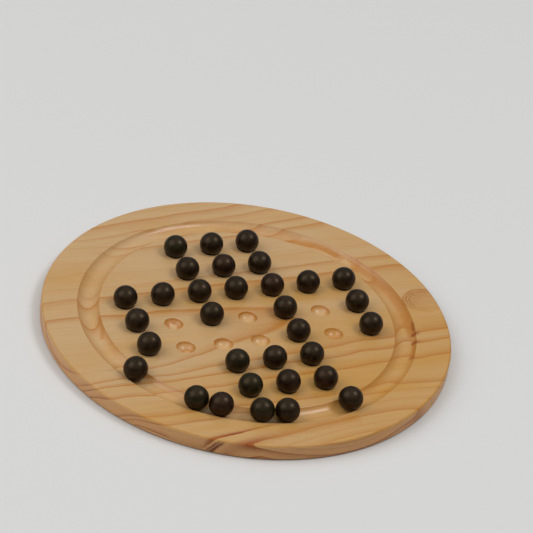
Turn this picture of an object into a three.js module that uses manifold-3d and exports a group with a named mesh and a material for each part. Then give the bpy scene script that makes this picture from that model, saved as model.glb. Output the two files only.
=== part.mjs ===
// Marble solitaire board: a round pine board with the 33 marble seats of the English cross, a coved
// groove round the rim for captured marbles, and its 32 marbles laid out part-way through a game.
// Millimetres, +Z up. The origin is the centre of the board's underside. +X runs along the rows to the
// right and +Y away from the player.

import * as THREE from "three";
import { mergeVertices } from "three/addons/utils/BufferGeometryUtils.js";
import Module from "manifold-3d";

// Marbles
const MARBLE_RADIUS = 7.15;
const GAP = 0.3; // kept between a marble and whatever it rests on or touches

// Board
const BOARD_RADIUS = 122;
const BOARD_THICKNESS = 10;
const EDGE_ROUND = 1.5;

// Seats: spherical dimples on a square grid, one marble pitch apart. Their radius is less than the
// marble's, so that a marble rests on the rim of its seat.
const SEAT_PITCH = 23.1;
const SEAT_RADIUS = 6.2;
const SEAT_OPENING_RADIUS = 5.7;

// Groove: a cove of one radius, swept round the board
const GROOVE_RADIUS = 94.5;
const GROOVE_WIDTH = 13;
const GROOVE_COVE_RADIUS = 8;

// The game: rows a (far) to g (near) and columns 1 (left) to 7 (right) make a cross, and the empty
// seats are named by row and column.
const ROW_NAMES = ["a", "b", "c", "d", "e", "f", "g"];
const MIDDLE = 3; // index of the middle row and column
const ARM_REACH = 1; // rows or columns that an arm of the cross has on each side of the middle
const EMPTY_SEATS = ["d2", "d4", "d6", "e2", "e3", "e4", "e6"];

// Captured marbles, by their angle round the groove from +X towards +Y, in degrees
const SINGLE_ANGLES = [207.5, 289.2];
const PAIR_ANGLES = [236.9, 259.9]; // the middle of two marbles side by side

// Facets
const BOARD_SEGMENTS = 72;
const SEAT_SEGMENTS = 20;
const SEAT_RINGS = 4;
const COVE_STEPS = 8;
const EDGE_STEPS = 2;
const MARBLE_DETAIL = 2;

// Worked out from the sizes above
const SEAT_CENTRE_Z = BOARD_THICKNESS + Math.sqrt(SEAT_RADIUS ** 2 - SEAT_OPENING_RADIUS ** 2);
const SEATED_Z = BOARD_THICKNESS + Math.sqrt((MARBLE_RADIUS + GAP) ** 2 - SEAT_OPENING_RADIUS ** 2);
const COVE_CENTRE_Z = BOARD_THICKNESS + Math.sqrt(GROOVE_COVE_RADIUS ** 2 - (GROOVE_WIDTH / 2) ** 2);
const CAPTURED_Z = COVE_CENTRE_Z - GROOVE_COVE_RADIUS + MARBLE_RADIUS + GAP;
const PAIR_STEP = THREE.MathUtils.radToDeg(2 * Math.asin((MARBLE_RADIUS + GAP / 2) / GROOVE_RADIUS));

const PINE = new THREE.MeshStandardMaterial({ color: 0xc79a63, roughness: 0.45, metalness: 0 });
const DARK_MARBLE = { color: 0x2a2420, roughness: 0.35, metalness: 0 };

const wasm = await Module();
wasm.setup();

// Points of a circular arc in the profile plane, angles in radians from the outward direction.
function arc(centreR, centreZ, radius, from, to, steps) {
  const points = [];
  for (let i = 0; i <= steps; i++) {
    const angle = from + ((to - from) * i) / steps;
    points.push(new THREE.Vector2(centreR + radius * Math.cos(angle), centreZ + radius * Math.sin(angle)));
  }
  return points;
}

// A profile of (radius, height) points, from the axis at the bottom to the axis at the top, turned about Z.
function revolve(profile, segments) {
  const geometry = new THREE.LatheGeometry(profile, segments);
  geometry.rotateX(Math.PI / 2);
  return geometry;
}

// Shared corners merged, and the triangles that collapse on the axis dropped.
function weld(geometry) {
  geometry.deleteAttribute("normal");
  geometry.deleteAttribute("uv");
  const welded = mergeVertices(geometry);
  const index = welded.index.array;
  const kept = [];
  for (let i = 0; i < index.length; i += 3) {
    const [a, b, c] = index.slice(i, i + 3);
    if (a !== b && b !== c && c !== a) kept.push(a, b, c);
  }
  welded.setIndex(kept);
  return welded;
}

function toSolid(geometry) {
  const welded = weld(geometry);
  const vertProperties = new Float32Array(welded.attributes.position.array);
  const triVerts = new Uint32Array(welded.index.array);
  return new wasm.Manifold(new wasm.Mesh({ numProp: 3, vertProperties, triVerts }));
}

function toGeometry(solid) {
  const mesh = solid.getMesh();
  const geometry = new THREE.BufferGeometry();
  geometry.setAttribute("position", new THREE.BufferAttribute(mesh.vertProperties, mesh.numProp));
  geometry.setIndex(new THREE.BufferAttribute(mesh.triVerts, 1));
  geometry.computeVertexNormals();
  return geometry;
}

// Every seat of the cross, with its name and its place on the board.
function seats() {
  const found = [];
  for (let row = 0; row <= 2 * MIDDLE; row++) {
    for (let column = 0; column <= 2 * MIDDLE; column++) {
      const offRow = Math.abs(row - MIDDLE);
      const offColumn = Math.abs(column - MIDDLE);
      if (Math.min(offRow, offColumn) > ARM_REACH) continue;
      const name = ROW_NAMES[row] + (column + 1);
      found.push({ name, x: (column - MIDDLE) * SEAT_PITCH, y: (MIDDLE - row) * SEAT_PITCH });
    }
  }
  return found;
}

// The turned blank: flat underside, rounded edges and the coved groove.
function boardBlank() {
  const quarter = Math.PI / 2;
  const roundR = BOARD_RADIUS - EDGE_ROUND;
  const topRoundZ = BOARD_THICKNESS - EDGE_ROUND;
  const halfCove = Math.asin(GROOVE_WIDTH / 2 / GROOVE_COVE_RADIUS);
  const outerRim = -quarter + halfCove;
  const innerRim = -quarter - halfCove;
  const profile = [
    new THREE.Vector2(0, 0),
    ...arc(roundR, EDGE_ROUND, EDGE_ROUND, -quarter, 0, EDGE_STEPS),
    ...arc(roundR, topRoundZ, EDGE_ROUND, 0, quarter, EDGE_STEPS),
    ...arc(GROOVE_RADIUS, COVE_CENTRE_Z, GROOVE_COVE_RADIUS, outerRim, innerRim, COVE_STEPS),
    new THREE.Vector2(0, BOARD_THICKNESS),
  ];
  return toSolid(revolve(profile, BOARD_SEGMENTS));
}

// The ball-nosed tool that sinks one seat: a spherical end under a flat top at the ball's middle.
function seatCutter(x, y) {
  const rim = -Math.acos(SEAT_OPENING_RADIUS / SEAT_RADIUS);
  const profile = [
    ...arc(0, SEAT_CENTRE_Z, SEAT_RADIUS, -Math.PI / 2, rim, SEAT_RINGS),
    new THREE.Vector2(SEAT_RADIUS, SEAT_CENTRE_Z),
    new THREE.Vector2(0, SEAT_CENTRE_Z),
  ];
  profile[0].x = 0;
  const geometry = revolve(profile, SEAT_SEGMENTS);
  geometry.translate(x, y, 0);
  return toSolid(geometry);
}

function board() {
  let solid = boardBlank();
  for (const seat of seats()) solid = solid.subtract(seatCutter(seat.x, seat.y));
  const mesh = new THREE.Mesh(toGeometry(solid), PINE);
  mesh.name = "board";
  return mesh;
}

// A ball with a corner of its facets on top and one below, so that its height is the true diameter.
function marbleGeometry() {
  const geometry = new THREE.IcosahedronGeometry(MARBLE_RADIUS, MARBLE_DETAIL);
  const corner = new THREE.Vector3().fromBufferAttribute(new THREE.IcosahedronGeometry(1).attributes.position, 0);
  const turn = new THREE.Quaternion().setFromUnitVectors(corner.normalize(), new THREE.Vector3(0, 0, 1));
  geometry.applyQuaternion(turn);
  return weld(geometry);
}

function marble(name, x, y, z) {
  const mesh = new THREE.Mesh(marbleGeometry(), new THREE.MeshStandardMaterial(DARK_MARBLE));
  mesh.name = name;
  mesh.position.set(x, y, z);
  return mesh;
}

function seatedMarbles() {
  const group = new THREE.Group();
  for (const seat of seats()) {
    if (EMPTY_SEATS.includes(seat.name)) continue;
    group.add(marble("marble_" + seat.name, seat.x, seat.y, SEATED_Z));
  }
  return group;
}

function capturedMarbles() {
  const pairs = PAIR_ANGLES.flatMap((middle) => [middle - PAIR_STEP / 2, middle + PAIR_STEP / 2]);
  const angles = [...SINGLE_ANGLES, ...pairs].sort((a, b) => a - b);
  const group = new THREE.Group();
  angles.forEach((degrees, i) => {
    const angle = THREE.MathUtils.degToRad(degrees);
    const x = GROOVE_RADIUS * Math.cos(angle);
    const y = GROOVE_RADIUS * Math.sin(angle);
    group.add(marble("captured_marble_" + (i + 1), x, y, CAPTURED_Z));
  });
  return group;
}

const solitaire = new THREE.Group();
solitaire.add(board(), seatedMarbles(), capturedMarbles());

export default solitaire;
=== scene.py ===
"""Looks for the marble solitaire board.

A lacquered pine board with a coved groove and 33 seats, and its 32 dark marbles. Everything is in metres in
the part's own frame: origin at the centre of the underside, +Z up, +X right, +Y away.
"""

import math

import bmesh
import bpy
import numpy as np
from mathutils import Matrix, Vector
from mathutils.geometry import delaunay_2d_cdt


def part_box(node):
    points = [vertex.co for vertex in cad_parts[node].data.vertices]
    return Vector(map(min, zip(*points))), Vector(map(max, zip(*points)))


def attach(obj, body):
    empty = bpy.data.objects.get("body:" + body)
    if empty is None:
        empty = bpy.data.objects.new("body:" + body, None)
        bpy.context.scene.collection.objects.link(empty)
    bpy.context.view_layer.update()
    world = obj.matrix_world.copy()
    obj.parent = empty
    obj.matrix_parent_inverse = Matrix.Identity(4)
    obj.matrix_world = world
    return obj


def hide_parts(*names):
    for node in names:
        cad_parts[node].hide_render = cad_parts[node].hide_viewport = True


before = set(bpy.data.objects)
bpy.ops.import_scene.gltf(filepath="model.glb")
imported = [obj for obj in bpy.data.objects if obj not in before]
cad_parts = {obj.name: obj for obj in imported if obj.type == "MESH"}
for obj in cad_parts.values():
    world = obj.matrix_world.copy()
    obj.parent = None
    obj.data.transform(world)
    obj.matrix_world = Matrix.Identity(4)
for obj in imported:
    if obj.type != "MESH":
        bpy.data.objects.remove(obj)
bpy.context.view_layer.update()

MM = 0.001
TINY = 1e-9

# ---------------------------------------------------------------- sizes from the frame
BOARD_LOW, BOARD_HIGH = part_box("board")
BOARD_RADIUS = (BOARD_HIGH.x - BOARD_LOW.x) / 2
BOARD_TOP = BOARD_HIGH.z
MARBLE_NODES = sorted(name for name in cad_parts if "marble" in name)
MARBLE_LOW, MARBLE_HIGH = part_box(MARBLE_NODES[0])
MARBLE_RADIUS = (MARBLE_HIGH.z - MARBLE_LOW.z) / 2

# ---------------------------------------------------------------- driving sizes of the board's shape
SEAT_PITCH = 23.1 * MM
SEAT_RADIUS = 6.2 * MM  # of the ball-nosed cutter
SEAT_OPENING_RADIUS = 5.7 * MM
SEAT_ROUND = 0.35 * MM  # of a seat's softened rim
GROOVE_RADIUS = 94.5 * MM
GROOVE_WIDTH = 13 * MM
COVE_RADIUS = 8 * MM
COVE_ROUND = 0.5 * MM  # of the groove's softened rims
EDGE_ROUND = 1.5 * MM
MIDDLE_SEAT = 3  # index of the middle row and column of the cross
ARM_REACH = 1  # rows or columns that an arm of the cross has on each side of the middle

# ---------------------------------------------------------------- how finely the board is meshed
TURN_STEPS = 384
SEAT_STEPS = 48
SEAT_RINGS = 8
ROUND_STEPS = 4
COVE_HALF_STEPS = 12
FLAT_STEP = 2.6 * MM
UNDER_STEP = 6 * MM
SIDE_SHARES = (0.05, 0.35, 0.65, 0.95)  # heights of the side's rings, down from the top round
SUPPORT = 0.25 * MM  # width of the flat ring next to each rounded rim, which keeps the flat shading flat
FIELD_SPACING = 2.6 * MM
FIELD_ROW_SHARE = math.sqrt(0.75)  # distance between rows of even triangles, as a share of their side
FIELD_MARGIN = 0.6 * FIELD_SPACING  # kept free of loose points next to a rim
HOLE_FIT = 0.998  # a triangle whose middle is within this share of a seat's radius lies in the seat


# ================================================================ board mesh
class MeshDraft:
    """Vertices and faces gathered ring by ring."""

    def __init__(self):
        self.vertices = []
        self.faces = []

    def point(self, x, y, z):
        self.vertices.append((x, y, z))
        return len(self.vertices) - 1

    def ring(self, cx, cy, radius, z, steps):
        made = []
        for i in range(steps):
            angle = 2 * math.pi * i / steps
            made.append(self.point(cx + radius * math.cos(angle), cy + radius * math.sin(angle), z))
        return made

    def bridge(self, inner, outer):
        """Quads between two rings, facing up where outer is the wider ring."""
        for i in range(len(inner)):
            j = (i + 1) % len(inner)
            self.faces.append((inner[i], outer[i], outer[j], inner[j]))

    def bridge_all(self, rings):
        for inner, outer in zip(rings, rings[1:]):
            self.bridge(inner, outer)

    def fan(self, centre, ring):
        for i in range(len(ring)):
            self.faces.append((centre, ring[i], ring[(i + 1) % len(ring)]))


def cove_half(cutter, opening_half, rounding, steps):
    """Half of the section that a round cutter leaves, from its middle to the flat.

    Each point is (offset from the middle, height above the face), so heights are below zero.
    """
    height = math.sqrt(cutter**2 - opening_half**2)
    reach = math.sqrt((cutter + rounding) ** 2 - (height + rounding) ** 2)
    meet = math.atan2(-(height + rounding), reach)
    section = []
    for i in range(steps + 1):
        angle = -math.pi / 2 + (meet + math.pi / 2) * i / steps
        section.append((cutter * math.cos(angle), height + cutter * math.sin(angle)))
    for i in range(1, ROUND_STEPS + 1):
        angle = meet + math.pi + (math.pi / 2 - meet - math.pi) * i / ROUND_STEPS
        section.append((reach + rounding * math.cos(angle), -rounding + rounding * math.sin(angle)))
    section.append((reach + SUPPORT, 0.0))
    return section


def seat_places():
    places = []
    for row in range(2 * MIDDLE_SEAT + 1):
        for column in range(2 * MIDDLE_SEAT + 1):
            if min(abs(row - MIDDLE_SEAT), abs(column - MIDDLE_SEAT)) > ARM_REACH:
                continue
            places.append(((column - MIDDLE_SEAT) * SEAT_PITCH, (MIDDLE_SEAT - row) * SEAT_PITCH))
    return places


def add_seat(draft, x, y):
    """One seat. Returns its outermost ring, on the flat."""
    section = cove_half(SEAT_RADIUS, SEAT_OPENING_RADIUS, SEAT_ROUND, SEAT_RINGS)
    bottom = draft.point(x, y, BOARD_TOP + section[0][1])
    rings = [draft.ring(x, y, offset, BOARD_TOP + height, SEAT_STEPS) for offset, height in section[1:]]
    draft.fan(bottom, rings[0])
    draft.bridge_all(rings)
    return rings[-1]


def add_field(draft, holes, rim):
    """The flat playing field between the seats and the groove, as even triangles."""
    index = []
    edges = []
    for ring in [*holes, rim]:
        start = len(index)
        edges += [(start + k, start + (k + 1) % len(ring)) for k in range(len(ring))]
        index += ring
    flat = [Vector(draft.vertices[i][:2]) for i in index]
    places = [Vector(place) for place in seat_places()]
    rim_radius = flat[-1].length
    hole_radius = (flat[0] - places[0]).length
    clear_rim = rim_radius - FIELD_MARGIN
    clear_hole = hole_radius + FIELD_MARGIN
    rows = int(rim_radius / (FIELD_SPACING * FIELD_ROW_SHARE))
    for row in range(-rows, rows + 1):
        y = row * FIELD_SPACING * FIELD_ROW_SHARE
        shift = 0.5 * FIELD_SPACING * (row % 2)
        for column in range(-rows, rows + 1):
            spot = Vector((column * FIELD_SPACING + shift, y))
            if spot.length > clear_rim or any((spot - place).length < clear_hole for place in places):
                continue
            index.append(draft.point(spot.x, spot.y, BOARD_TOP))
            flat.append(spot)
    triangles = delaunay_2d_cdt(flat, edges, [], 0, TINY)[2]
    for a, b, c in triangles:
        middle = (flat[a] + flat[b] + flat[c]) / 3
        in_seat = any((middle - place).length < hole_radius * HOLE_FIT for place in places)
        if middle.length > rim_radius or in_seat:
            continue
        draft.faces.append((index[a], index[b], index[c]))


def flat_run(start, end, z, step):
    count = max(1, round(abs(end - start) / step))
    return [(start + (end - start) * i / count, z) for i in range(1, count)]


def rounded_corner(centre_r, centre_z, start, end):
    points = []
    for i in range(ROUND_STEPS + 1):
        angle = start + (end - start) * i / ROUND_STEPS
        points.append((centre_r + EDGE_ROUND * math.cos(angle), centre_z + EDGE_ROUND * math.sin(angle)))
    return points


def turned_section():
    """The board's section as (radius, height), from the groove's inner rim, over the edge, to underneath."""
    cove = cove_half(COVE_RADIUS, GROOVE_WIDTH / 2, COVE_ROUND, COVE_HALF_STEPS)
    round_r = BOARD_RADIUS - EDGE_ROUND
    flat_r = round_r - SUPPORT
    side = BOARD_TOP - 2 * EDGE_ROUND
    section = [(GROOVE_RADIUS - offset, BOARD_TOP + height) for offset, height in reversed(cove[1:])]
    section += [(GROOVE_RADIUS + offset, BOARD_TOP + height) for offset, height in cove]
    section += flat_run(section[-1][0], flat_r, BOARD_TOP, FLAT_STEP)
    section += [(flat_r, BOARD_TOP)]
    section += rounded_corner(round_r, BOARD_TOP - EDGE_ROUND, math.pi / 2, 0)
    section += [(BOARD_RADIUS, BOARD_TOP - EDGE_ROUND - side * share) for share in SIDE_SHARES]
    section += rounded_corner(round_r, EDGE_ROUND, 0, -math.pi / 2)
    section += [(flat_r, 0.0)]
    section += flat_run(flat_r, UNDER_STEP, 0.0, UNDER_STEP)
    return section


def shade_smooth(mesh):
    mesh.polygons.foreach_set("use_smooth", [True] * len(mesh.polygons))


def board_mesh():
    draft = MeshDraft()
    holes = [add_seat(draft, x, y) for x, y in seat_places()]
    rings = [draft.ring(0, 0, radius, z, TURN_STEPS) for radius, z in turned_section()]
    draft.bridge_all(rings)
    centre = draft.point(0, 0, 0)
    draft.fan(centre, list(reversed(rings[-1])))
    add_field(draft, holes, rings[0])
    mesh = bpy.data.meshes.new("pine_board")
    mesh.from_pydata(draft.vertices, [], draft.faces)
    work = bmesh.new()
    work.from_mesh(mesh)
    bmesh.ops.recalc_face_normals(work, faces=work.faces)
    work.to_mesh(mesh)
    work.free()
    shade_smooth(mesh)
    return mesh


# ================================================================ growth rings of the board
# The plank is flat sawn with its heart above the face, so the rings are nested troughs, deepest under the
# middle line. Each entry is one ring as it crosses the top face: its size from the heart, then points along
# it from left to right, all in mm.
RING_LINES = [
    (48.8, [(-120, 13.5), (-86, 14), (-50, 13.5), (-30, 11.5), (-6, 10), (16, 6.5), (26, -2)]),
    (48.8, [(-113, -39.5), (-96, -38.5), (-73, -41), (-60, -38), (-40, -32), (-17, -23.5),
            (4, -18), (16, -12.5)]),
    (60, [(-117, 30), (-80, 31), (-51, 32.5), (-14, 34.5), (32, 35.5), (68, 37.5), (110, 40)]),
    (60, [(-108, -49.7), (-91, -46.2), (-72, -46.5), (-40, -43), (10, -39), (49, -35), (79, -32.5),
          (97, -30.2), (117, -29)]),
    (66, [(-113, 42), (-80, 41), (-40, 42.5), (8, 45), (51, 47), (108, 49.5)]),
    (66, [(-107, -52), (-90, -53), (-75, -53.2), (-56, -52), (-29, -50), (10, -46), (56, -42),
          (90, -39), (114, -37)]),
    (74, [(-101, -64.5), (-78, -65), (-60, -63.5), (-36, -62.5), (10, -59), (50, -56.5), (87, -54),
          (111, -52)]),
    (78, [(-102, 60), (-80, 64)]),
    (92, [(-88, -82.5), (-62, -81.7), (-34, -80.5), (0, -81), (24, -80), (75, -76)]),
    (97, [(-60, 81), (-14, 86), (14, 89), (41, 91.5), (68, 95)]),
    (105, [(-75, 89), (-40, 94), (0, 101), (23, 102.5), (47, 106)]),
    (106, [(-84, -114), (-68, -110), (-54, -107), (-40, -105), (-26, -102), (-13, -100.5),
           (20, -95), (60, -90)]),
    (115, [(-47, 105), (-20, 108), (4, 111), (24, 113)]),
    (115, [(-48, -118), (-30, -113), (6, -106), (30, -102), (60, -99)]),
]
# The middle line, around which the rings arch: place, and the ring size there, which falls towards the left.
MIDDLE_LINE = [
    (-118, -18, 40.0),
    (-80, -13, 42.5),
    (-40, -8, 45.0),
    (0, -4, 47.2),
    (60, 1, 51.0),
    (112, 4, 54.5),
]
SPLINE_SMOOTHING = 40.0  # lets the surface miss the listed points a little
# How fast ring size grows with depth, against the distance from the middle line in mm.
DEPTH_AT = [-110, -94, -82, -65, -45, -33, 0, 45, 60, 85, 120]
DEPTH_RATE = [0.25, 0.25, 0.9, 2.2, 1.1, 1.5, 1.2, 1.1, 0.8, 0.1, 0.1]
# The rings tip the other way under the near edge, to the right of the resin-dark ring: it fades in over
# these stretches of X and Y.
NEAR_TIP = -1.9
NEAR_TIP_X = (-50, -32)
NEAR_TIP_Y = (-108, -98)
# How plainly the rings show, against the distance from the middle line in mm: they all but vanish in a band
# on the far side of the field, and are fainter in one where the field meets the groove on the near side and
# in one on the far rim.
CLEAR_AT = [-120, -97, -94, -82, -79, 44, 52, 78, 85, 96, 101, 107, 112, 120]
CLEAR_SHARE = [1.0, 1.0, 0.3, 0.3, 1.0, 1.0, 0.18, 0.18, 1.0, 0.95, 0.62, 0.62, 0.95, 0.9]
# More quiet patches, on the left of the rim: place, and reach in X and Y.
QUIET_PATCHES = [((-88, 78), (38, 15)), ((-106, -38), (14, 5))]
QUIET_SHARE = 0.85
# A knot on the right of the rim pushes the rings apart around it.
KNOT_PLACE = (115.0, 0.8)
KNOT_RADIUS = 7.4
KNOT_REACH = 13.0
KNOT_PULL = 0.8
# Orange streaks and patches: strength, width of the side on the right of the path and of the side on its
# left, least depth below the face, then points along the path.
ORANGE_STREAKS = [
    (1.00, 3.2, 1.3, 0.3, [(78.5, 56), (74, 62.6), (68.8, 67.8), (63.5, 71), (57, 75.4), (50, 74.5)]),
    (0.60, 1.3, 1.2, 0.8, [(78.6, 52.4), (83.1, 54.7)]),
    (0.80, 1.2, 1.2, 0.8, [(84.2, 43.9), (86.8, 45.4)]),
    (0.65, 1.0, 1.0, 0.6, [(87.2, 48.6), (88.6, 44.9), (90.8, 41.8)]),
    (0.78, 9.5, 3.0, 0.8, [(95.0, -29.0), (97.6, -13), (98.6, 2), (97.1, 17), (92.6, 32), (86.5, 45)]),
    (0.95, 2.6, 1.4, 0.6, [(86.0, -50.5), (90.0, -43.5), (93.0, -37.0)]),
    (0.50, 2.8, 2.8, 0.0, [(-33, -114), (-16, -110.3), (6, -106.6), (30, -102.6)]),
    (0.35, 3.2, 3.2, 1.0, [(60, 77), (46.6, 84.5), (32, 89.6), (14, 93)]),
    (0.60, 1.3, 1.3, 0.6, [(-87.4, 14), (-88.6, 4), (-91.2, -4)]),
]
# Small dark red spots in the groove's outer wall, where rings graze it: the same values, with the depth of
# each point of the path as well.
RED_STREAKS = [
    (0.60, 1.2, 1.2, 0.0, [(98.6, -19.0, 0.9), (96.8, -25.8, 1.1)]),
    (0.95, 1.4, 1.4, 0.0, [(94.6, -29.6, 1.4), (96.4, -30.0, 0.6)]),
    (0.95, 1.3, 1.3, 0.0, [(91.6, -37.4, 1.5), (93.4, -38.0, 0.6)]),
    (0.55, 1.6, 1.6, 0.0, [(84.6, -51.0, 1.4), (85.8, -51.6, 0.9)]),
]
# Where the resin-dark ring at the near edge is darkest, and how far that reaches, in mm.
RESIN_PLACE = (-46, -110)
RESIN_REACH = 17.0
# Its foot on the side: a place on it halfway down, and the direction across it.
FOOT_PLACE = (-56.2, -107.5, 5.1)
FOOT_ACROSS = (0.678, -0.358, -0.642)
# How near the side and the rounded edge a vertex counts as being on them, and the depth over which the look
# of the side fades in, in mm.
SIDE_MARGIN = 0.4
SIDE_FADE = 2.5
EDGE_MARGIN = 0.1
# Painted light: the wood is drawn a little paler in the hollows, to lift the shade that falls in them: the
# depth over which that fades in and the depth where it ends, in mm, and its share in the groove and in the
# seats.
HOLLOW_FADE = 0.8
HOLLOW_LIMIT = 5
GROOVE_HOLLOW_LIGHT = 0.3
SEAT_HOLLOW_LIGHT = 1.0
# Stain and painted shade on the hollows' walls, against their slope (0 flat, 1 upright): the walls are drawn
# darker and warmer, partly as end grain that takes more finish and partly as painted shade. In the groove it
# is
# stronger on the near half: places in Y, then strengths.
GROOVE_STEEP = 0.4
GROOVE_STAIN_AND_SHADE_AT = (0, 80)
GROOVE_STAIN_AND_SHADE = (0.7, 0.2)
SEAT_STEEP_FROM = 0.18
SEAT_STEEP_SPAN = 0.34


def ring_surface():
    """A smooth surface through the lines above: a thin plate spline of ring size over the top face."""
    known = [(x, y, size) for size, line in RING_LINES for x, y in line] + MIDDLE_LINE
    spots = np.array([(x, y) for x, y, _ in known], float)
    sizes = np.array([size for _, _, size in known], float)

    def kernel(a, b):
        gap = np.linalg.norm(a[:, None, :] - b[None, :, :], axis=2)
        return gap**2 * np.log(np.maximum(gap, TINY))

    count = len(spots)
    system = np.zeros((count + 3, count + 3))
    system[:count, :count] = kernel(spots, spots) + SPLINE_SMOOTHING * np.eye(count)
    system[:count, count] = 1
    system[:count, count + 1 :] = spots
    system[count:, :count] = system[:count, count:].T
    weights = np.linalg.solve(system, np.concatenate([sizes, np.zeros(3)]))

    def surface(points):
        flat = np.column_stack([np.ones(len(points)), points])
        return kernel(points, spots) @ weights[:count] + flat @ weights[count:]

    return surface


def around_knot(points):
    """Moves points near the knot back towards its level, so the rings read there bend around it."""
    offset = points - KNOT_PLACE
    pull = np.exp(-((offset**2).sum(axis=1)) / KNOT_REACH**2)
    return np.column_stack([points[:, 0], points[:, 1] - KNOT_PULL * pull * offset[:, 1]])


def streaks(listed, places):
    """The strength of the listed streaks at each place, 0 to 1. A place is (x, y, depth)."""
    total = np.zeros(len(places))
    for strength, right_width, left_width, least_depth, path in listed:
        points = places[:, : len(path[0])]
        nearest = np.full(len(places), np.inf)
        for start, end in zip(np.array(path[:-1], float), np.array(path[1:], float)):
            along = end - start
            share = np.clip((points - start) @ along / (along @ along), 0, 1)
            gap = points - (start + share[:, None] * along)
            left = along[0] * gap[:, 1] - along[1] * gap[:, 0] > 0
            scaled = np.linalg.norm(gap, axis=1) / np.where(left, left_width, right_width)
            nearest = np.minimum(nearest, scaled)
        shown = np.clip(places[:, 2] / least_depth, 0, 1) if least_depth > 0 else 1.0
        total = np.maximum(total, strength * np.exp(-(nearest**4)) * shown)
    return total


def ring_sizes(points, depth, middle):
    """Ring size at each point, from the surface on the face and the way the rings lean below it."""
    rate = np.interp(points[:, 1] - middle, DEPTH_AT, DEPTH_RATE)
    near = np.interp(points[:, 1], NEAR_TIP_Y, [1, 0]) * np.interp(points[:, 0], NEAR_TIP_X, [0, 1])
    return ring_surface()(around_knot(points)) + (rate + NEAR_TIP * near) * depth


def vertex_vectors(mesh, key):
    values = np.zeros(len(mesh.vertices) * 3)
    mesh.vertices.foreach_get(key, values)
    return values.reshape(-1, 3)


def store(mesh, name, values):
    mesh.attributes.new(name, "FLOAT", "POINT").data.foreach_set("value", values.astype(np.float32))


def store_grain(mesh, places, depth):
    """Writes the rings, the streaks and the resin at each vertex, for the pine material to read."""
    flat = places[:, :2]
    middle = np.interp(places[:, 0], [x for x, _, _ in MIDDLE_LINE], [y for _, y, _ in MIDDLE_LINE])
    store(mesh, "ring_size", ring_sizes(flat, depth, middle))
    clarity = np.interp(places[:, 1] - middle, CLEAR_AT, CLEAR_SHARE)
    for place, reach in QUIET_PATCHES:
        clarity *= 1 - QUIET_SHARE * np.exp(-(((flat - place) / reach) ** 2).sum(axis=1))
    store(mesh, "ring_clarity", clarity)
    sunk = np.column_stack([flat, depth])
    store(mesh, "orange", streaks(ORANGE_STREAKS, sunk))
    store(mesh, "red", streaks(RED_STREAKS, sunk))
    reach = np.linalg.norm(flat - RESIN_PLACE, axis=1) / RESIN_REACH
    store(mesh, "resin", np.exp(-(reach**2)))


def store_surfaces(mesh, places, depth):
    """Writes how far each vertex is on the side, the rounded edge or a hollow's wall, and the painted light
    in the hollows.
    """
    from_middle = np.linalg.norm(places[:, :2], axis=1)
    slope = 1 - np.abs(vertex_vectors(mesh, "normal")[:, 2])
    outside = from_middle > BOARD_RADIUS / MM - SIDE_MARGIN
    in_groove = from_middle > (GROOVE_RADIUS - GROOVE_WIDTH) / MM
    store(mesh, "side", outside * np.clip(depth / SIDE_FADE, 0, 1))
    store(mesh, "edge", from_middle > (BOARD_RADIUS - EDGE_ROUND) / MM - EDGE_MARGIN)
    # Stain and painted shade on the hollows' walls, stronger on the near half of the groove.
    groove_stain_and_shade = np.interp(places[:, 1], GROOVE_STAIN_AND_SHADE_AT, GROOVE_STAIN_AND_SHADE)
    groove_walls = np.clip(slope / GROOVE_STEEP, 0, 1) * groove_stain_and_shade
    seat_walls = np.clip((slope - SEAT_STEEP_FROM) / SEAT_STEEP_SPAN, 0, 1)
    store(mesh, "steep", np.where(outside, 0, np.where(in_groove, groove_walls, seat_walls)))
    # Painted light: a paler wood colour in the hollows, fading in with depth, lifts the shade that falls in
    # them.
    hollow_painted_light = ~outside * (depth < HOLLOW_LIMIT) * np.clip(depth / HOLLOW_FADE, 0, 1)
    store(mesh, "hollow_painted_light", hollow_painted_light * np.where(in_groove, GROOVE_HOLLOW_LIGHT, SEAT_HOLLOW_LIGHT))


def store_wood(mesh):
    places = vertex_vectors(mesh, "co") / MM
    depth = BOARD_TOP / MM - places[:, 2]
    store_grain(mesh, places, depth)
    store_surfaces(mesh, places, depth)


# ================================================================ materials
NOISE_ENDS = (0.3, 0.7)  # nearly all of a noise lies between these
WIDE_ENDS = (0.25, 0.75)


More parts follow.
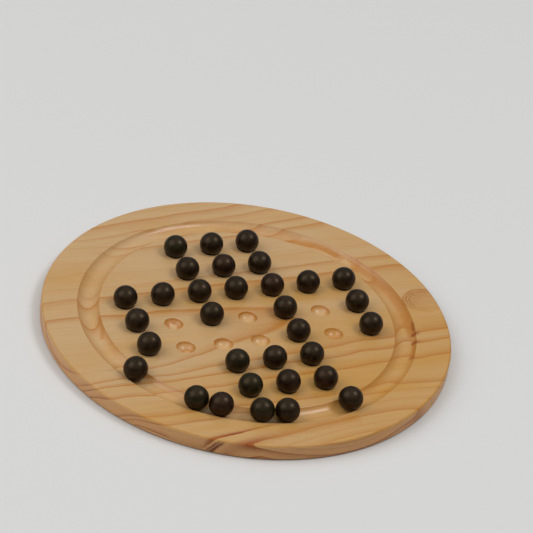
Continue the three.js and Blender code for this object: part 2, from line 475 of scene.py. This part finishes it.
class NodeTree:
    """Short calls for building one material's nodes."""

    def __init__(self, name):
        self.material = bpy.data.materials.new(name)
        self.material.use_nodes = True
        self.tree = self.material.node_tree
        self.tree.nodes.clear()

    def add(self, kind, **settings):
        node = self.tree.nodes.new("ShaderNode" + kind)
        for name, value in settings.items():
            setattr(node, name, value)
        return node

    def feed(self, socket, value):
        if isinstance(value, bpy.types.NodeSocket):
            self.tree.links.new(value, socket)
        else:
            socket.default_value = value

    def math(self, operation, a, b=0.0, clamp=False):
        node = self.add("Math", operation=operation, use_clamp=clamp)
        self.feed(node.inputs[0], a)
        self.feed(node.inputs[1], b)
        return node.outputs[0]

    def vector(self, operation, a, b):
        node = self.add("VectorMath", operation=operation)
        self.feed(node.inputs[0], a)
        self.feed(node.inputs[1], b)
        return node.outputs[0]

    def dot(self, a, b):
        return self.vector("DOT_PRODUCT", a, b).node.outputs["Value"]

    def attribute(self, name):
        return self.add("Attribute", attribute_type="GEOMETRY", attribute_name=name).outputs["Fac"]

    def place(self):
        """The place in the part's frame, in mm."""
        return self.vector("MULTIPLY", self.add("TexCoord").outputs["Object"], (1 / MM,) * 3)

    def noise(self, vector, scale=1.0, detail=2.0, roughness=0.5):
        node = self.add("TexNoise", noise_dimensions="3D")
        self.feed(node.inputs["Vector"], vector)
        self.feed(node.inputs["Scale"], scale)
        self.feed(node.inputs["Detail"], detail)
        self.feed(node.inputs["Roughness"], roughness)
        return node.outputs["Fac"]

    def grain(self, place, repeats, detail=2.0, roughness=0.5):
        """A noise that repeats at its own rate, per mm, in X, Y and Z."""
        return self.noise(self.vector("MULTIPLY", place, repeats), 1.0, detail, roughness)

    def span(self, value, low, high, out_low=0.0, out_high=1.0, smooth=False):
        node = self.add("MapRange", interpolation_type="SMOOTHSTEP" if smooth else "LINEAR")
        self.feed(node.inputs["From Min"], low)
        self.feed(node.inputs["From Max"], high)
        self.feed(node.inputs["To Min"], out_low)
        self.feed(node.inputs["To Max"], out_high)
        self.feed(node.inputs["Value"], value)
        return node.outputs["Result"]

    def swing(self, noise, low, high, ends=NOISE_ENDS):
        """A noise taken from between its ends to between low and high."""
        return self.span(noise, *ends, low, high)

    def ramp(self, value, stops):
        """The numbers listed as (position, number), joined by straight lines."""
        node = self.add("ValToRGB")
        elements = node.color_ramp.elements
        while len(elements) > 1:
            elements.remove(elements[-1])
        for i, (position, number) in enumerate(stops):
            element = elements[0] if i == 0 else elements.new(position)
            element.position = position
            element.color = (number, number, number, 1.0)
        self.feed(node.inputs["Fac"], value)
        return node.outputs["Color"]

    def mix(self, share, a, b):
        node = self.add("Mix", data_type="RGBA", blend_type="MIX")
        self.feed(node.inputs[0], share)
        for socket, value in ((node.inputs[6], a), (node.inputs[7], b)):
            self.feed(socket, value if isinstance(value, bpy.types.NodeSocket) else (*value, 1.0))
        return node.outputs[2]

    def bump(self, height, strength, distance):
        node = self.add("Bump")
        self.feed(node.inputs["Height"], height)
        self.feed(node.inputs["Strength"], strength)
        self.feed(node.inputs["Distance"], distance)
        return node.outputs["Normal"]

    def finish(self, shader):
        self.tree.links.new(shader.outputs[0], self.add("OutputMaterial").inputs["Surface"])
        return self.material


# Late wood of each growth ring: ring size in mm, strength, and width of the soft side that faces the heart.
RINGS = [
    (48.8, 0.82, 2.8),
    (60.0, 0.80, 4.0),
    (66.0, 0.90, 2.8),
    (70.0, 0.08, 1.5),
    (74.0, 0.82, 3.4),
    (79.0, 0.08, 2.0),
    (92.0, 0.72, 4.6),
    (97.5, 0.80, 2.4),
    (101.0, 0.10, 1.6),
    (106.0, 0.90, 3.2),
    (115.0, 0.72, 7.0),
    (122.0, 0.30, 2.5),
    (127.0, 0.50, 3.5),
]
RING_GROUPS = 3  # ramps that share the rings, because one ramp holds too few stops
RING_SHARP_SIDE = 0.45
RING_CREST = 0.1
SHOULDER_PLACE = 0.3  # of the soft side's width from the ring
SHOULDER_SHARE = 0.45  # of the ring's strength
RAMP_LEAD = 8.0  # ring sizes that a ramp covers before its first ring and after its last
RAMP_TRAIL = 4.0

EARLY_WOOD = (0.545, 0.345, 0.162)
WARM_WOOD = (0.514, 0.264, 0.053)
LATE_WOOD = (0.425, 0.148, 0.012)
ORANGE_WOOD = (0.430, 0.165, 0.018)
WALL_WOOD = (0.490, 0.200, 0.026)
RED_WOOD = (0.255, 0.042, 0.001)
KNOT_WOOD = (0.370, 0.132, 0.012)
FOOT_WOOD = (0.115, 0.018, 0.002)
SIDE_WOOD = (0.645, 0.326, 0.150)
SIDE_LATE_WOOD = (0.290, 0.085, 0.025)
SIDE_TINT = 0.65

# Patterns: how often each repeats per mm in X, Y and Z. Fibres run along the plank, so X is the slowest.
SLOW_WAVER = (0.010, 0.03, 0.03)
QUICK_WAVER = (0.035, 0.5, 0.5)
FIBRES = (0.03, 1.5, 1.5)
BROAD_TINT = (0.009, 0.05, 0.05)
HAIRS = (0.11, 4.2, 4.2)
BLOTCHES = (0.12, 0.2, 0.2)
KNOT_OUTLINE = (0.07, 0.07, 0.05)
KNOT_PATCHES = (0.22, 0.3, 0.2)
FOOT_WAVER = (0.4, 0.4, 0.4)
PATCH_ENDS = (0.35, 0.65)
KNOT_PATCH_ENDS = (0.35, 0.6)
# What the patterns do: how far in mm the rings waver, and the ends of the other effects.
SLOW_SWAY = 0.3
QUICK_SWAY = 0.2
FIBRE_SHADE = (0.90, 1.055)
BROAD_WARMTH = (0.1, 0.9)
BLOTCH_SHARE = (0.8, 1.0)
KNOT_PATCH_SHARE = (0.7, 1.0)
HAIR_PEAKS = (0.62, 0.72)  # only the peaks of this pattern show, as thin darker hairs
HAIR_SHADE = (1.0, 0.9)
# Painted light: how much the wood's colour is lifted in the hollows, from none of it to all of it.
HOLLOW_PAINTED_LIGHT = (1.0, 1.08)

# Surface of the pine: the fibres' roughness and relief, and the lacquer, which is thinner on the rounded
# edge and the side.
PINE_ROUGHNESS = (0.44, 0.54)
PINE_SPECULAR = 0.2
LATE_RELIEF = 0.3  # depth of late wood below the fibres, as a share of theirs
PINE_BUMP = 0.1
BUMP_DEPTH = 0.05 * MM
LACQUER = (0.65, 0.1)
LACQUER_ROUGHNESS = 0.20

# Painted shade: the wood is drawn paler at the far left of the face and darker and warmer at the near right
# and
# below, where less light falls: the shift towards the warm wood per mm.
PAINTED_SHADE_SLOPE = (0.0010, -0.0028, -0.02)

# The knot's lines: share of the ramp, then how dark it is there.
KNOT_EDGE = 0.575
KNOT_STOPS = [
    (0.0, 0.50),
    (0.2, 0.60),
    (0.24, 0.46),
    (0.40, 0.60),
    (0.44, 0.46),
    (0.52, 0.50),
    (KNOT_EDGE, 1.0),
    (0.63, 0.48),
    (0.66, 0.46),
    (0.70, 1.0),
    (0.735, 0.9),
    (0.77, 0.42),
    (0.80, 0.40),
    (0.84, 0.95),
    (0.88, 0.7),
    (0.92, 0.25),
    (1.0, 0.0),
]
KNOT_STRETCH = (0.87, 1.04, 0.0)
KNOT_WAVER = 1.4  # mm
# The knot is clearest on its far left side and faintest on its near right side: the direction between them,
# then the stretch along it in mm and the shares at its ends.
KNOT_CLEAR_SIDE = (-0.6, 0.8, 0.0)
KNOT_CLEAR_SPAN = (-7.0, 9.0)
KNOT_CLEAR_SHARE = (0.3, 1.0)

# The resin-dark ring's two lines down the side: share of the distance across it, then how dark it is there.
FOOT_REACH = 2.5  # mm to each side
FOOT_STOPS = [
    (0.0, 0.0),
    (0.12, 0.0),
    (0.27, 1.0),
    (0.38, 0.6),
    (0.52, 0.55),
    (0.66, 1.0),
    (0.77, 0.8),
    (0.95, 0.0),
]
FOOT_SWAY = 0.5  # mm
FOOT_NEAR = (0.3, 0.55)  # of the resin's strength, over which the foot fades in
RESIN_LATE = (0.12, 0.42)  # of late wood, over which resin darkens it


def late_wood(nodes, size):
    """0 in early wood to 1 in the darkest late wood, from ramps that share the rings between them."""
    count = math.ceil(len(RINGS) / RING_GROUPS)
    total = None
    for start in range(0, len(RINGS), count):
        group = RINGS[start : start + count]
        low = group[0][0] - RAMP_LEAD
        high = group[-1][0] + RAMP_TRAIL
        stops = [(low, 0.0)]
        for ring, strength, soft in group:
            stops.append((ring - soft, 0.0))
            stops.append((ring - SHOULDER_PLACE * soft, SHOULDER_SHARE * strength))
            stops.append((ring - RING_CREST, strength))
            stops.append((ring + RING_SHARP_SIDE, 0.0))
        scaled = [((at - low) / (high - low), value) for at, value in stops]
        part = nodes.ramp(nodes.span(size, low, high), scaled)
        total = part if total is None else nodes.math("MAXIMUM", total, part)
    return total


def knot_shade(nodes, place):
    """0 in plain wood to 1 on the knot's edge and on the arcs around it."""
    offset = nodes.vector("SUBTRACT", place, (*KNOT_PLACE, 0.0))
    flat = nodes.vector("MULTIPLY", offset, KNOT_STRETCH)
    outline = nodes.grain(place, KNOT_OUTLINE, 1.0)
    length = nodes.add("VectorMath", operation="LENGTH")
    nodes.feed(length.inputs[0], flat)
    distance = nodes.math("ADD", length.outputs["Value"], nodes.swing(outline, -KNOT_WAVER, KNOT_WAVER))
    rings = nodes.ramp(nodes.math("DIVIDE", distance, KNOT_RADIUS / KNOT_EDGE), KNOT_STOPS)
    turned = nodes.dot(offset, KNOT_CLEAR_SIDE)
    side = nodes.span(turned, *KNOT_CLEAR_SPAN, *KNOT_CLEAR_SHARE, smooth=True)
    patchy = nodes.swing(nodes.grain(place, KNOT_PATCHES), *KNOT_PATCH_SHARE, KNOT_PATCH_ENDS)
    return nodes.math("MULTIPLY", rings, nodes.math("MULTIPLY", side, patchy))


def foot_shade(nodes, place):
    """0 in plain wood to 1 on the two dark lines that the resin-dark ring leaves down the side."""
    offset = nodes.vector("SUBTRACT", place, FOOT_PLACE)
    waver = nodes.grain(place, FOOT_WAVER)
    across = nodes.math("ADD", nodes.dot(offset, FOOT_ACROSS), nodes.swing(waver, -FOOT_SWAY, FOOT_SWAY))
    lines = nodes.ramp(nodes.span(across, -FOOT_REACH, FOOT_REACH), FOOT_STOPS)
    near = nodes.math("MULTIPLY", nodes.span(nodes.attribute("resin"), *FOOT_NEAR), nodes.attribute("side"))
    return nodes.math("MULTIPLY", lines, near)


def wavering_late_wood(nodes, place):
    """Late wood of rings that waver a little along the plank, and more finely across their edges."""
    slow = nodes.swing(nodes.grain(place, SLOW_WAVER, 1.0), -SLOW_SWAY, SLOW_SWAY, WIDE_ENDS)
    quick = nodes.swing(nodes.grain(place, QUICK_WAVER, 3.0, 0.6), -QUICK_SWAY, QUICK_SWAY, WIDE_ENDS)
    size = nodes.math("ADD", nodes.math("ADD", nodes.attribute("ring_size"), slow), quick)
    return nodes.math("MULTIPLY", late_wood(nodes, size), nodes.attribute("ring_clarity"))


def wood_colour(nodes, place, late):
    """The colour of the wood before its fibres are drawn on it."""
    broad = nodes.swing(nodes.grain(place, BROAD_TINT), *BROAD_WARMTH)
    # Random warm tone across the plank, plus painted shade that darkens it towards the near right and below.
    tone_and_painted_shade = nodes.math("ADD", nodes.dot(place, PAINTED_SHADE_SLOPE), broad, clamp=True)
    early = nodes.mix(tone_and_painted_shade, EARLY_WOOD, WARM_WOOD)
    early = nodes.mix(nodes.math("MULTIPLY", nodes.attribute("side"), SIDE_TINT), early, SIDE_WOOD)
    # The hollows' walls are darker and warmer: partly end grain, cut across the fibres, that takes more of
    # the finish, and partly painted shade.
    early = nodes.mix(nodes.attribute("steep"), early, WALL_WOOD)
    darkest = nodes.mix(nodes.attribute("side"), LATE_WOOD, SIDE_LATE_WOOD)
    wood = nodes.mix(late, early, darkest)
    wood = nodes.mix(knot_shade(nodes, place), wood, KNOT_WOOD)
    blotchy = nodes.swing(nodes.grain(place, BLOTCHES), *BLOTCH_SHARE, PATCH_ENDS)
    wood = nodes.mix(nodes.math("MULTIPLY", nodes.attribute("orange"), blotchy), wood, ORANGE_WOOD)
    resin = nodes.math("MULTIPLY", nodes.attribute("resin"), nodes.span(late, *RESIN_LATE))
    wood = nodes.mix(nodes.math("MAXIMUM", resin, nodes.attribute("red")), wood, RED_WOOD)
    return nodes.mix(foot_shade(nodes, place), wood, FOOT_WOOD)


def pine_material():
    nodes = NodeTree("lacquered_pine")
    place = nodes.place()
    late = wavering_late_wood(nodes, place)
    fibre = nodes.grain(place, FIBRES, 4.0, 0.65)
    hairs = nodes.grain(place, HAIRS, 1.0)

    fibre_shade = nodes.swing(fibre, *FIBRE_SHADE)
    hair_shade = nodes.span(hairs, *HAIR_PEAKS, *HAIR_SHADE)
    # Painted light: the wood's colour is lifted in the hollows.
    hollow_light_lift = nodes.span(nodes.attribute("hollow_painted_light"), 0.0, 1.0, *HOLLOW_PAINTED_LIGHT)
    shade = nodes.math("MULTIPLY", nodes.math("MULTIPLY", fibre_shade, hair_shade), hollow_light_lift)
    shaded = nodes.vector("SCALE", wood_colour(nodes, place, late), (0, 0, 0))
    nodes.feed(shaded.node.inputs["Scale"], shade)
    relief = nodes.math("SUBTRACT", fibre, nodes.math("MULTIPLY", late, LATE_RELIEF))

    shader = nodes.add("BsdfPrincipled")
    nodes.feed(shader.inputs["Base Color"], shaded)
    nodes.feed(shader.inputs["Roughness"], nodes.swing(fibre, *PINE_ROUGHNESS))
    nodes.feed(shader.inputs["Normal"], nodes.bump(relief, PINE_BUMP, BUMP_DEPTH))
    shader.inputs["Specular IOR Level"].default_value = PINE_SPECULAR
    nodes.feed(shader.inputs["Coat Weight"], nodes.span(nodes.attribute("edge"), 0.0, 1.0, *LACQUER))
    shader.inputs["Coat Roughness"].default_value = LACQUER_ROUGHNESS
    return nodes.finish(shader)


# ================================================================ marbles
BALL_STEPS = 22
# The two colours that swirl in each kind of marble.
UMBER = ((0.007, 0.0035, 0.0012), (0.017, 0.009, 0.004))
RUSSET = ((0.009, 0.0035, 0.0015), (0.020, 0.008, 0.004))
OLIVE = ((0.006, 0.0045, 0.0012), (0.014, 0.011, 0.0035))
# The last part of the names of the marbles that lean towards red and towards green.
RUSSET_MARBLES = ("b4", "c5", "g4", "g5", "3")
OLIVE_MARBLES = ("a3", "f3", "g3", "2", "4")
# The swirl and the fine specks: how often each repeats per mm, and how they show.
SWIRL_BEND_SCALE = 0.12
SWIRL_BEND = 9  # mm by which a slow noise bends the swirl
SWIRL_SCALE = 0.22
SWIRL_ENDS = (0.35, 0.68)
SPECK_SCALE = 1.6
GLASS_ROUGHNESS = (0.27, 0.39)
GLASS_BUMP = 0.08
GLASS_SPECULAR = 0.28
GLASS_TINT = (1.0, 0.74, 0.48, 1.0)


def marble_material(name, dark, light):
    """Opaque dark glass with a faint swirl and a satin surface."""
    nodes = NodeTree(name)
    place = nodes.place()
    slow = nodes.noise(place, SWIRL_BEND_SCALE).node.outputs["Color"]
    bend = nodes.vector("MULTIPLY", slow, (SWIRL_BEND, SWIRL_BEND, SWIRL_BEND))
    swirl = nodes.noise(nodes.vector("ADD", place, bend), SWIRL_SCALE, 3.0, 0.55)
    speck = nodes.noise(place, SPECK_SCALE, 2.0, 0.6)
    shader = nodes.add("BsdfPrincipled")
    colour = nodes.mix(nodes.span(swirl, *SWIRL_ENDS, smooth=True), dark, light)
    nodes.feed(shader.inputs["Base Color"], colour)
    nodes.feed(shader.inputs["Roughness"], nodes.swing(speck, *GLASS_ROUGHNESS))
    nodes.feed(shader.inputs["Normal"], nodes.bump(speck, GLASS_BUMP, BUMP_DEPTH))
    shader.inputs["Specular IOR Level"].default_value = GLASS_SPECULAR
    shader.inputs["Specular Tint"].default_value = GLASS_TINT
    return nodes.finish(shader)


def ball_mesh(name, centre, radius):
    """A ball of six square patches, which has no poles."""
    work = bmesh.new()
    bmesh.ops.create_cube(work, size=2.0)
    bmesh.ops.subdivide_edges(work, edges=work.edges[:], cuts=BALL_STEPS - 1, use_grid_fill=True)
    for vertex in work.verts:
        tangent = Vector(math.tan(c * math.pi / 4) for c in vertex.co)
        vertex.co = centre + tangent.normalized() * radius
    mesh = bpy.data.meshes.new(name)
    work.to_mesh(mesh)
    work.free()
    shade_smooth(mesh)
    return mesh


def add_piece(name, mesh, body, node, material):
    piece = bpy.data.objects.new(name, mesh)
    bpy.context.scene.collection.objects.link(piece)
    mesh.materials.append(material)
    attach(piece, body)
    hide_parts(node)
    return piece


def add_marbles():
    umber = marble_material("marble_umber", *UMBER)
    russet = marble_material("marble_russet", *RUSSET)
    olive = marble_material("marble_olive", *OLIVE)
    tints = {label: russet for label in RUSSET_MARBLES} | {label: olive for label in OLIVE_MARBLES}
    for node in MARBLE_NODES:
        low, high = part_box(node)
        name = node.replace("marble", "dark_marble")
        mesh = ball_mesh(name, (low + high) / 2, MARBLE_RADIUS)
        label = node.split("_")[-1]
        add_piece(name, mesh, node, node, tints.get(label, umber))


# ================================================================ stage, light and camera
FLOOR_HALF = 12.0
FLOOR_DROP = 0.1 * MM  # below the board, so that the two faces don't meet
FLOOR_COLOUR = (0.66, 0.66, 0.65, 1.0)
FLOOR_ROUGHNESS = 0.7

# The dome's strength near the horizon and overhead, and the heights of direction between which it rises.
DOME_LOW = 0.22
DOME_HIGH = 0.82
DOME_RISE = (0.50, 0.80)
WHITE = (1.0, 1.0, 1.0, 1.0)

# Each softbox: name, direction from the board, diameter in metres and watts.
SOFTBOXES = [
    ("right_softbox", (0.455, -0.162, 0.8755), 1.0, 18.0),
    ("left_softbox", (-0.7254, 0.1135, 0.679), 2.4, 25.5),
]
SOFTBOX_DISTANCE = 2.6

CAMERA_PLACE = Vector((-0.5873, -1.2624, 0.9861))
CAMERA_AIM = Vector((0.0290, 0.0482, 0.0100))
CAMERA_ROLL = math.radians(10.0)
CAMERA_LENS = 194.7
CAMERA_SENSOR = 36.0
CAMERA_NEAR = 0.05
CAMERA_FAR = 60.0


def add_floor():
    nodes = NodeTree("pale_floor")
    shader = nodes.add("BsdfPrincipled")
    shader.inputs["Base Color"].default_value = FLOOR_COLOUR
    shader.inputs["Roughness"].default_value = FLOOR_ROUGHNESS
    corners = [(x * FLOOR_HALF, y * FLOOR_HALF, 0) for x, y in ((-1, -1), (1, -1), (1, 1), (-1, 1))]
    mesh = bpy.data.meshes.new("floor")
    mesh.from_pydata(corners, [], [(0, 1, 2, 3)])
    mesh.materials.append(nodes.finish(shader))
    floor = bpy.data.objects.new("floor", mesh)
    floor.location.z = -FLOOR_DROP
    bpy.context.scene.collection.objects.link(floor)


def add_softbox(name, direction, size, watts):
    light = bpy.data.lights.new(name, "AREA")
    light.shape = "DISK"
    light.size = size
    light.energy = watts
    lamp = bpy.data.objects.new(name, light)
    lamp.location = Vector(direction).normalized() * SOFTBOX_DISTANCE
    lamp.rotation_euler = Vector(direction).to_track_quat("Z", "Y").to_euler()
    bpy.context.scene.collection.objects.link(lamp)


def add_world():
    """A soft white dome, brighter overhead than near the horizon."""
    world = bpy.data.worlds.new("studio")
    world.use_nodes = True
    tree = world.node_tree
    direction = tree.nodes.new("ShaderNodeTexCoord").outputs["Generated"]
    parts = tree.nodes.new("ShaderNodeSeparateXYZ")
    tree.links.new(direction, parts.inputs[0])
    rise = tree.nodes.new("ShaderNodeMapRange")
    rise.interpolation_type = "SMOOTHSTEP"
    tree.links.new(parts.outputs["Z"], rise.inputs["Value"])
    rise.inputs["From Min"].default_value = DOME_RISE[0]
    rise.inputs["From Max"].default_value = DOME_RISE[1]
    rise.inputs["To Min"].default_value = DOME_LOW
    rise.inputs["To Max"].default_value = DOME_HIGH
    background = tree.nodes["Background"]
    background.inputs["Color"].default_value = WHITE
    tree.links.new(rise.outputs["Result"], background.inputs["Strength"])
    bpy.context.scene.world = world


def add_camera():
    data = bpy.data.cameras.new("camera")
    data.lens = CAMERA_LENS
    data.sensor_width = CAMERA_SENSOR
    data.clip_start = CAMERA_NEAR
    data.clip_end = CAMERA_FAR
    camera = bpy.data.objects.new("camera", data)
    aim = (CAMERA_AIM - CAMERA_PLACE).to_track_quat("-Z", "Y").to_matrix().to_4x4()
    camera.matrix_world = Matrix.Translation(CAMERA_PLACE) @ aim @ Matrix.Rotation(CAMERA_ROLL, 4, "Z")
    bpy.context.scene.collection.objects.link(camera)
    bpy.context.scene.camera = camera


# ================================================================ the scene
add_camera()
add_floor()
add_world()
for name, direction, size, watts in SOFTBOXES:
    add_softbox(name, direction, size, watts)
bpy.context.scene.view_settings.view_transform = "Standard"

board = board_mesh()
store_wood(board)
add_piece("pine_board", board, "board", "board", pine_material())
add_marbles()
